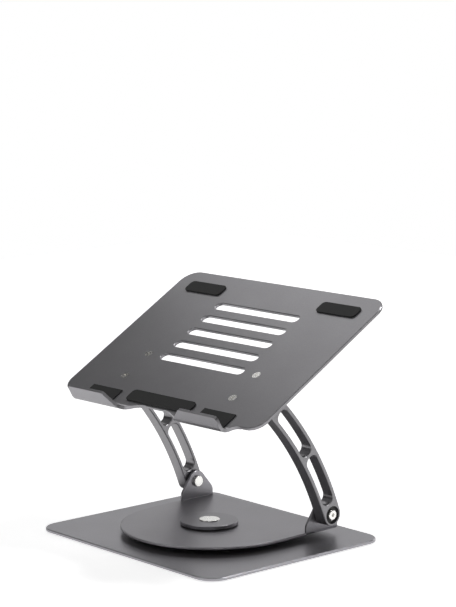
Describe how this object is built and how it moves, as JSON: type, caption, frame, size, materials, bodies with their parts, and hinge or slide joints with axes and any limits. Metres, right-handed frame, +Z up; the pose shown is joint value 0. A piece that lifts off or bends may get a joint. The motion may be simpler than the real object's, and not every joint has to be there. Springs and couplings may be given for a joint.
{
  "type": "laptop stand",
  "caption": "Turntable laptop stand: rectangular base plate, turning plate, two curved slotted arms on friction pivots and a tilting tray with front lips.",
  "frame": {"origin": "on the ground under the middle of the base plate, on the turntable's turning axis", "axes": "+X across the stand to the user's right, +Y away from the user to the rear, +Z up"},
  "size_m": [0.25, 0.2082, 0.2137],
  "materials": {
    "base_coat": "satin powder coat, dark grey",
    "grey_aluminium": "satin, dark grey coating",
    "steel": "bright",
    "rubber": "matte",
    "black_nylon": "matte"
  },
  "bodies": {
    "base": {"base_plate": "base_coat", "foot_front_left": "rubber", "foot_front_right": "rubber", "foot_rear_left": "rubber", "foot_rear_right": "rubber", "spindle": "steel", "lower_race": "steel", "ball_cage": "black_nylon", "bearing_balls": "steel", "glide_ring": "black_nylon", "retaining_disc": "grey_aluminium", "centre_screw": "steel"},
    "turntable": {"turntable_plate": "grey_aluminium", "upper_race": "steel", "lower_sleeve_left": "steel", "lower_sleeve_right": "steel", "lower_friction_washer_left": "black_nylon", "lower_friction_washer_right": "black_nylon", "lower_ring_washer_left": "black_nylon", "lower_ring_washer_right": "black_nylon", "lower_pivot_screw_left": "steel", "lower_pivot_screw_right": "steel"},
    "left_arm": {"arm_left": "grey_aluminium", "lower_bush_left": "black_nylon", "upper_bush_left": "black_nylon"},
    "right_arm": {"arm_right": "grey_aluminium", "lower_bush_right": "black_nylon", "upper_bush_right": "black_nylon"},
    "tray": {"tray_plate": "grey_aluminium", "front_pad": "rubber", "rear_pad_left": "rubber", "rear_pad_right": "rubber", "lip_pad_left": "rubber", "lip_pad_right": "rubber", "bracket_left": "grey_aluminium", "bracket_right": "grey_aluminium", "bracket_screws": "steel", "upper_sleeve_left": "steel", "upper_sleeve_right": "steel", "upper_friction_washer_left": "black_nylon", "upper_friction_washer_right": "black_nylon", "upper_ring_washer_left": "black_nylon", "upper_ring_washer_right": "black_nylon", "upper_pivot_screw_left": "steel", "upper_pivot_screw_right": "steel"}
  },
  "joints": [
    {"name": "turntable_spin", "type": "hinge", "parent": "base", "child": "turntable", "pos_m": [0, 0, 0.01], "axis": [0, 0, 1], "continuous": true},
    {"name": "left_arm_lift", "type": "hinge", "parent": "turntable", "child": "left_arm", "pos_m": [0, 0.0583, 0.026], "axis": [1, 0, 0], "range_deg": [-38, 38]},
    {"name": "right_arm_lift", "type": "hinge", "parent": "turntable", "child": "right_arm", "pos_m": [0, 0.0583, 0.026], "axis": [1, 0, 0], "range_deg": [-38, 38]},
    {"name": "tray_tilt", "type": "hinge", "parent": "left_arm", "child": "tray", "pos_m": [0, -0.01665, 0.13551], "axis": [1, 0, 0], "range_deg": [-74, 12]}
  ],
  "couplings": [
    {"joint": "right_arm_lift", "follows": "left_arm_lift", "ratio": 1}
  ]
}
